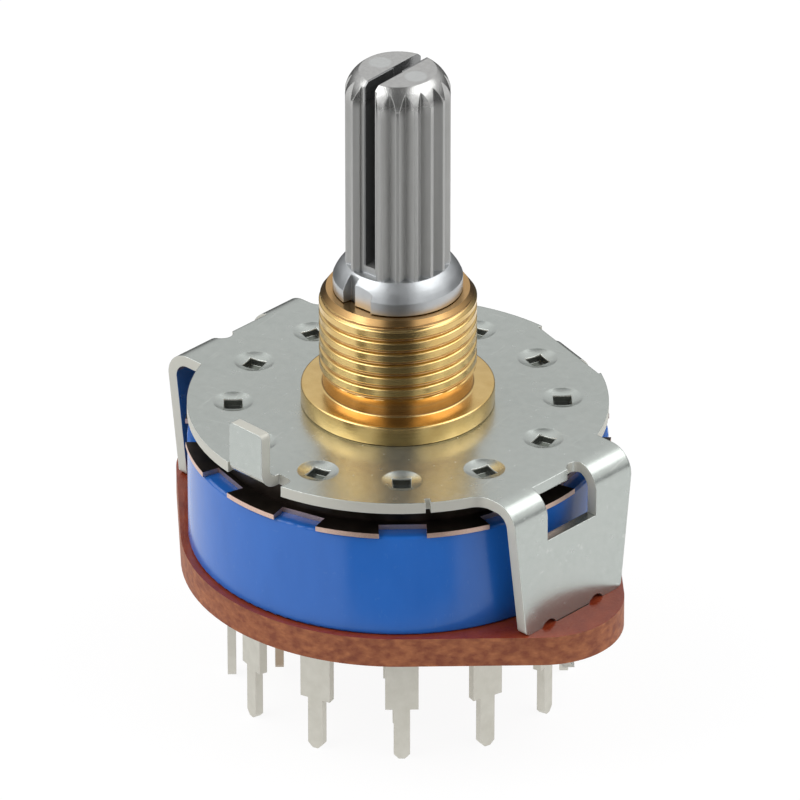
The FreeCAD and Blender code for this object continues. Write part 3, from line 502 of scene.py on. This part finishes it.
def zinc_casting():
    """Satin die-cast zinc: upright streaks, a smoother tip and collar, two pale marks on the end, and painted
    shade in the split.
    """
    tree, shader, material = new_material("zinc_casting", 0.88)
    place = place_in_mm(tree)
    height = upward_part(tree, place)
    streaks = use_group(tree, "grain", Size=0.25, Stretch=(1, 1, 30), Contrast=1.3)
    cloud = use_group(tree, "grain", Size=0.9, Contrast=1.6)
    fine = use_group(tree, "grain", Size=0.07, Contrast=1.5)
    base = mix_colours(tree, streaks, colour(0.45, 0.45, 0.44), colour(0.57, 0.57, 0.56))
    collar = step_down(tree, height, COLLAR_TOP, COLLAR_TOP + 0.25)
    cast = mix_colours(tree, cloud, colour(0.44, 0.46, 0.475), colour(0.56, 0.58, 0.595))
    base = mix_colours(tree, collar, base, cast)
    for side in (-1, 1):
        mark = (EJECTOR_MARK[0] * side, EJECTOR_MARK[1] * side, SHAFT_TOP)
        distance = add_node(tree, "ShaderNodeVectorMath", [(0, place), (1, mark)], operation="DISTANCE")
        inside = step_down(tree, distance.outputs["Value"], EJECTOR_MARK_RADIUS, EJECTOR_MARK_RADIUS + 0.22)
        base = mix_colours(tree, multiply(tree, inside, 0.6), base, colour(0.66, 0.68, 0.675))
    base = mix_colours(tree, use_group(tree, "worn_edges", Radius=0.05), base, colour(0.64, 0.64, 0.63))
    # Painted shade: inside the split, above its floor, the colour is darkened.
    beside_split = compute(tree, "ABSOLUTE", dot(tree, place, across(SPLIT_AZIMUTH)))
    painted_split_shade = step_down(tree, beside_split, SPLIT_HALF_WIDTH, SPLIT_HALF_WIDTH + 0.02)
    painted_split_shade = multiply(tree, painted_split_shade, step_up(tree, height, SPLIT_FLOOR, SPLIT_FLOOR + 0.2))
    base = mix_colours(tree, multiply(tree, painted_split_shade, 0.7), base, colour(0.16, 0.165, 0.17))
    tip = step_up(tree, height, SHAFT_TOP - 1.9, SHAFT_TOP - 1.0)
    knurl = multiply(tree, rest_of(tree, tip), rest_of(tree, collar))
    satin = compute(tree, "MULTIPLY_ADD", knurl, 0.36, multiply(tree, collar, 0.1))
    roughness = compute(tree, "ADD", satin, spread(tree, cloud, 0.2, 0.28))
    bump = set_surface(tree, shader, base, roughness, fine, 0.004)
    soften_edges(tree, bump, 0.07)
    return material


def turned_brass():
    """Bright turned brass, with painted shade: darker and redder in the undercut and in the thread's root."""
    tree, shader, material = new_material("turned_brass", 1.0)
    height = height_in_mm(tree)
    above_flange = step_up(tree, height, 0.02, 0.1)
    below_thread = step_down(tree, height, THREAD_START - 0.1, THREAD_START + 0.4)
    undercut = multiply(tree, above_flange, below_thread)
    near_axis = step_down(tree, radius_in_mm(tree), THREAD_RADIUS - THREAD_DEPTH, THREAD_RADIUS - 0.08)
    root = multiply(tree, near_axis, above_flange)
    marks = use_group(tree, "turning_marks", Size=0.06)
    cloud = use_group(tree, "grain", Size=1.1, Contrast=1.8)
    base = mix_colours(tree, cloud, colour(0.68, 0.46, 0.17), colour(0.80, 0.58, 0.25))
    # Painted shade: the thread's root and the undercut are darkened and reddened in the colour.
    painted_recess_shade = multiply(tree, compute(tree, "MAXIMUM", root, undercut), 0.6)
    base = mix_colours(tree, painted_recess_shade, base, colour(0.44, 0.22, 0.09))
    roughness = spread(tree, marks, 0.16, 0.3)
    set_surface(tree, shader, base, roughness, marks, 0.004)
    return material


def plated_steel():
    """Plated sheet: fine mottling, a few scratches, paler cut edges and painted shade in the pits."""
    tree, shader, material = new_material("plated_steel", 1.0)
    mottle = use_group(tree, "grain", Size=0.45, Contrast=1.5)
    cloud = use_group(tree, "grain", Size=2.6, Contrast=1.3)
    fine = use_group(tree, "grain", Size=0.09, Contrast=1.4)
    edge = use_group(tree, "cut_edges")
    scratch = use_group(tree, "scratches", Share=0.35)
    base = mix_colours(tree, mottle, colour(0.45, 0.485, 0.46), colour(0.51, 0.545, 0.52))
    base = mix_colours(tree, multiply(tree, cloud, 0.3), base, colour(0.56, 0.58, 0.545))
    base = mix_colours(tree, scratch, base, colour(0.66, 0.68, 0.65))
    base = mix_colours(tree, multiply(tree, edge, 0.8), base, colour(0.62, 0.605, 0.54))
    base = mix_colours(tree, use_group(tree, "worn_edges", Radius=0.07), base, colour(0.78, 0.81, 0.78))
    # Painted shade: the pits of the dimples are darkened in the colour.
    base = mix_colours(tree, use_group(tree, "pits", Share=0.75), base, colour(0.12, 0.125, 0.11))
    roughness = mix_values(tree, edge, spread(tree, mottle, 0.2, 0.29), 0.55)
    tree.links.new(mix_values(tree, edge, 0.9, 0.5), shader.inputs["Metallic"])
    bump = set_surface(tree, shader, base, roughness, fine, 0.003)
    soften_edges(tree, bump, 0.09)
    return material


def dark_bronze():
    """Sheet bronze with bright pinkish cut edges round the flange and its notches, and faces painted near
    black: dark tarnish and painted shade from the plate above.
    """
    tree, shader, material = new_material("dark_bronze", 0.85)
    upright = step_down(tree, facing_up(tree), 0.4, 0.5)
    on_flange = step_up(tree, radius_in_mm(tree), RING_FLANGE_START, RING_FLANGE_START + 0.05)
    edge = multiply(tree, upright, on_flange)
    cloud = use_group(tree, "grain", Size=0.8, Contrast=1.8)
    fine = use_group(tree, "grain", Size=0.06, Contrast=1.5)
    # Painted shade: the faces' near-black colour holds the shade under the plate as well as dark tarnish.
    base = mix_colours(tree, cloud, colour(0.022, 0.017, 0.014), colour(0.06, 0.045, 0.036))
    cut = mix_colours(tree, fine, colour(0.56, 0.37, 0.30), colour(0.85, 0.64, 0.54))
    base = mix_colours(tree, edge, base, cut)
    roughness = spread(tree, cloud, 0.3, 0.45)
    set_surface(tree, shader, base, roughness, fine, 0.004)
    return material


def blue_moulding():
    """Glossy blue moulding with a faint flow pattern, a few scuffs and a slightly uneven skin."""
    tree, shader, material = new_material("blue_moulding")
    flow = use_group(tree, "grain", Size=2.4, Stretch=(1, 1, 2.5), Contrast=1.6)
    wave = use_group(tree, "grain", Size=1.6, Contrast=1.0)
    scratch = use_group(tree, "scratches", Share=0.2)
    base = mix_colours(tree, flow, colour(0.012, 0.120, 0.48), colour(0.020, 0.150, 0.57))
    base = mix_colours(tree, scratch, base, colour(0.06, 0.2, 0.55))
    roughness = spread(tree, wave, 0.16, 0.26)
    bump = set_surface(tree, shader, base, roughness, wave, 0.012)
    soften_edges(tree, bump, 0.12)
    return material


def laminate():
    """Glossy red-brown laminate, with a rough speckled edge in thin layers."""
    tree, shader, material = new_material("laminate")
    edge = step_down(tree, facing_up(tree), 0.4, 0.6)
    cloud = use_group(tree, "grain", Size=1.2, Contrast=2.0)
    weave = use_group(tree, "grain", Size=0.16, Contrast=1.8)
    layers = use_group(tree, "grain", Size=0.12, Stretch=(2.5, 2.5, 1), Contrast=2.4)
    speckle = use_group(tree, "grain", Size=0.42, Stretch=(1.4, 1.4, 1), Contrast=3.2)
    face = mix_colours(tree, cloud, colour(0.19, 0.022, 0.010), colour(0.31, 0.05, 0.018))
    face = mix_colours(tree, multiply(tree, weave, 0.3), face, colour(0.38, 0.085, 0.03))
    cut = mix_colours(tree, speckle, colour(0.21, 0.045, 0.014), colour(0.42, 0.14, 0.048))
    cut = mix_colours(tree, multiply(tree, layers, 0.5), cut, colour(0.24, 0.065, 0.022))
    base = mix_colours(tree, edge, face, cut)
    roughness = mix_values(tree, edge, spread(tree, weave, 0.12, 0.24), 0.6)
    set_surface(tree, shader, base, roughness, mix_values(tree, edge, weave, layers), 0.01)
    return material


def plated_contact(name, low, high):
    """Plated blade metal, with paler cut edges and fine drag marks along the blade."""
    tree, shader, material = new_material(name, 1.0)
    drag = use_group(tree, "grain", Size=0.08, Stretch=(1, 1, 8), Contrast=1.6)
    cloud = use_group(tree, "grain", Size=0.8, Contrast=1.8)
    base = mix_colours(tree, cloud, low, high)
    base = mix_colours(tree, use_group(tree, "worn_edges", Radius=0.07), base, colour(0.72, 0.70, 0.64))
    roughness = spread(tree, cloud, 0.4, 0.55)
    bump = set_surface(tree, shader, base, roughness, drag, 0.004)
    soften_edges(tree, bump, 0.06)
    return material


def natural_moulding():
    """Uncoloured engineering plastic with a soft, slightly cloudy skin."""
    tree, shader, material = new_material("natural_moulding")
    shader.inputs["Subsurface Weight"].default_value = 0.1
    shader.inputs["Subsurface Scale"].default_value = 0.001
    cloud = use_group(tree, "grain", Size=1.6, Contrast=1.6)
    fine = use_group(tree, "grain", Size=0.08, Contrast=1.4)
    base = mix_colours(tree, cloud, colour(0.66, 0.63, 0.55), colour(0.76, 0.73, 0.65))
    bump = set_surface(tree, shader, base, spread(tree, cloud, 0.4, 0.55), fine, 0.006)
    soften_edges(tree, bump, 0.1)
    return material


def hard_metal(name, low, high, smooth, rough):
    """Hardened or sprung metal with fine drawing marks."""
    tree, shader, material = new_material(name, 1.0)
    cloud = use_group(tree, "grain", Size=0.5, Contrast=1.8)
    fine = use_group(tree, "grain", Size=0.05, Stretch=(4, 4, 1), Contrast=1.5)
    base = mix_colours(tree, cloud, low, high)
    set_surface(tree, shader, base, spread(tree, cloud, smooth, rough), fine, 0.003)
    return material


def dress(bushing):
    """Gives each node its material by the start of its name, and the threaded piece its brass."""
    contact = plated_contact("plated_contact", colour(0.56, 0.545, 0.48), colour(0.70, 0.685, 0.62))
    # Painted shade and reflection: one common terminal is coloured brown for the shade under the base and the
    # brown base reflected in it.
    shaded_contact = plated_contact("painted_shade_contact", colour(0.36, 0.27, 0.19), colour(0.50, 0.42, 0.33))
    spring = hard_metal("spring_steel", colour(0.42, 0.43, 0.44), colour(0.55, 0.56, 0.57), 0.16, 0.3)
    bronze = hard_metal("wiper_bronze", colour(0.56, 0.38, 0.25), colour(0.68, 0.50, 0.36), 0.2, 0.35)
    by_start = {
        "shaft": zinc_casting(),
        "mounting_plate": plated_steel(),
        "stop_ring": dark_bronze(),
        "housing": blue_moulding(),
        "terminal_base": laminate(),
        "common_terminal_d": shaded_contact,
        "common_terminal": contact,
        "throw_terminal": contact,
        "rotor": natural_moulding(),
        "retaining_ring": spring,
        "detent": spring,
        "wiper": bronze,
        "threaded_bushing": turned_brass(),
    }
    for name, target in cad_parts.items():
        start = next(start for start in by_start if name.startswith(start))
        target.data.materials.clear()
        target.data.materials.append(by_start[start])
    bushing.data.materials.append(by_start["threaded_bushing"])


# Studio: a pale table, soft light from above and both sides, and dark cards and a dark strip to reflect

TABLE = [(-3000, -3000), (3000, -3000), (3000, 3000), (-3000, 3000)]
CARD_LIFT = 0.2
CARDS = {
    "dark_wedge": [(-100, -220), (100, -220), (13, -28), (-13, -28)],
    "dark_apron": [(-32, -66), (32, -66), (43, -37), (-43, -37)],
    "dark_behind": [(-2500, 55), (2500, 55), (2500, 2500), (-2500, 2500)],
}


def set_world():
    """Dark at the horizon, brighter above, brightest at the front's two sides, with a dark strip between."""
    world = bpy.data.worlds.new("studio")
    bpy.context.scene.world = world
    world.use_nodes = True
    tree = world.node_tree
    tree.nodes.clear()
    direction = add_node(tree, "ShaderNodeTexCoord").outputs["Generated"]
    parts = add_node(tree, "ShaderNodeSeparateXYZ", [(0, direction)]).outputs
    level = add_node(tree, "ShaderNodeVectorMath", [(0, direction), (1, (1, 1, 0))], operation="MULTIPLY")
    level = add_node(tree, "ShaderNodeVectorMath", [(0, level.outputs[0])], operation="NORMALIZE")
    frontal = dot(tree, level.outputs[0], (0, -1, 0))
    low = step_up(tree, parts[2], 0.0, 0.38)
    high = step_up(tree, parts[2], 0.45, 1.0)
    strength = compute(tree, "MULTIPLY_ADD", high, 0.5, spread(tree, low, 0.22, 0.92))
    sides = multiply(tree, step_up(tree, frontal, -0.4, 0.3), low)
    strength = compute(tree, "MULTIPLY_ADD", sides, 0.55, strength)
    narrow = step_down(tree, compute(tree, "ABSOLUTE", parts[0]), 0.24, 0.46)
    forward = step_down(tree, parts[1], 0.2, 0.5)
    strength = mix_values(tree, multiply(tree, narrow, forward), strength, 0.07)
    background = add_node(tree, "ShaderNodeBackground", [("Strength", strength)])
    output = add_node(tree, "ShaderNodeOutputWorld")
    tree.links.new(background.outputs[0], output.inputs["Surface"])


def add_lamp(name, place, size, power):
    """A soft box that faces the origin."""
    data = bpy.data.lights.new(name, "AREA")
    data.shape = "RECTANGLE"
    data.size = size[0] * MM
    data.size_y = size[1] * MM
    data.energy = power
    lamp = bpy.data.objects.new(name, data)
    bpy.context.scene.collection.objects.link(lamp)
    turn = (-Vector(place)).normalized().to_track_quat("-Z", "Y")
    lamp.matrix_world = Matrix.Translation(Vector(place) * MM) @ turn.to_matrix().to_4x4()


def add_level_sheet(name, corners, level, material):
    """A level sheet of the studio through four corners, each to the right and to the back."""
    mesh = bpy.data.meshes.new(name)
    mesh.from_pydata([Vector((right, back, level)) * MM for right, back in corners], [], [(0, 1, 2, 3)])
    mesh.materials.append(material)
    sheet = bpy.data.objects.new(name, mesh)
    bpy.context.scene.collection.objects.link(sheet)
    return sheet


def add_floor():
    """A pale table, which the camera and clear reflections see as white with a faint shadow."""
    material = bpy.data.materials.new("pale_floor")
    material.use_nodes = True
    tree = material.node_tree
    tree.nodes.clear()
    path = add_node(tree, "ShaderNodeLightPath").outputs
    seen = compute(tree, "MAXIMUM", path["Is Camera Ray"], path["Is Glossy Ray"])
    seen = compute(tree, "MAXIMUM", seen, path["Is Transmission Ray"])
    diffuse = add_node(tree, "ShaderNodeBsdfDiffuse", [("Color", colour(0.86, 0.86, 0.86))])
    white = add_node(tree, "ShaderNodeEmission", [("Strength", 1.03)])
    surface = add_node(tree, "ShaderNodeMixShader",
                       [(0, multiply(tree, seen, 0.9)), (1, diffuse.outputs[0]), (2, white.outputs[0])])
    add_node(tree, "ShaderNodeOutputMaterial", [("Surface", surface.outputs[0])])
    add_level_sheet("floor", TABLE, FLOOR_LEVEL, material)


def add_cards():
    """Dark cards on the table, two in front and one behind, which only reflections see."""
    shader, material = new_material("dark_card")[1:]
    shader.inputs["Base Color"].default_value = colour(0.02, 0.02, 0.02)
    shader.inputs["Roughness"].default_value = 1.0
    for name, corners in CARDS.items():
        card = add_level_sheet(name, corners, FLOOR_LEVEL + CARD_LIFT, material)
        card.visible_camera = False
        card.visible_diffuse = False
        card.visible_shadow = False


set_camera()
dress(add_threaded_bushing())
set_world()
add_floor()
add_cards()
add_lamp("left_softbox", (-300, -20, 360), (420, 300), 0.88)
add_lamp("right_softbox", (300, 0, 360), (420, 300), 0.66)

bpy.context.scene.view_settings.view_transform = "Standard"
